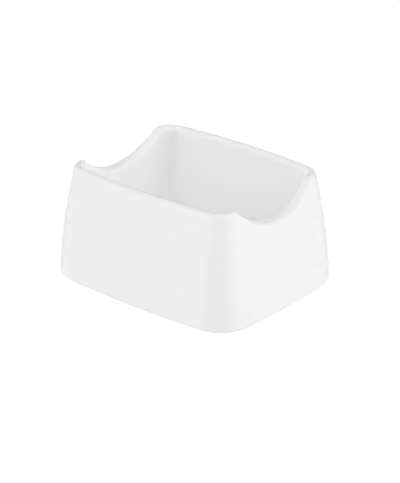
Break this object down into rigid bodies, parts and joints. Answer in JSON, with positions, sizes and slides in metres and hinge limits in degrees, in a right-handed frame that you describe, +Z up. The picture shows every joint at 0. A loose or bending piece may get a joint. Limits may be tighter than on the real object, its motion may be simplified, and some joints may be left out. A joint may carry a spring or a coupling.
{
  "type": "sugar packet holder",
  "caption": "Open rectangular ceramic tray for sugar packets, with leaning ribbed walls, a rounded rim and a finger scoop in each short end.",
  "frame": {"origin": "centre of the footprint, on the table surface under the foot ring", "axes": "+X along the long side towards one scooped end, +Y across the width, +Z up to the rim"},
  "size_m": [0.107, 0.087, 0.0525],
  "materials": {
    "glaze": "clear gloss glaze over a white body, bare and matt on the foot ring"
  },
  "bodies": {
    "root": {"holder": "glaze"}
  },
  "joints": []
}
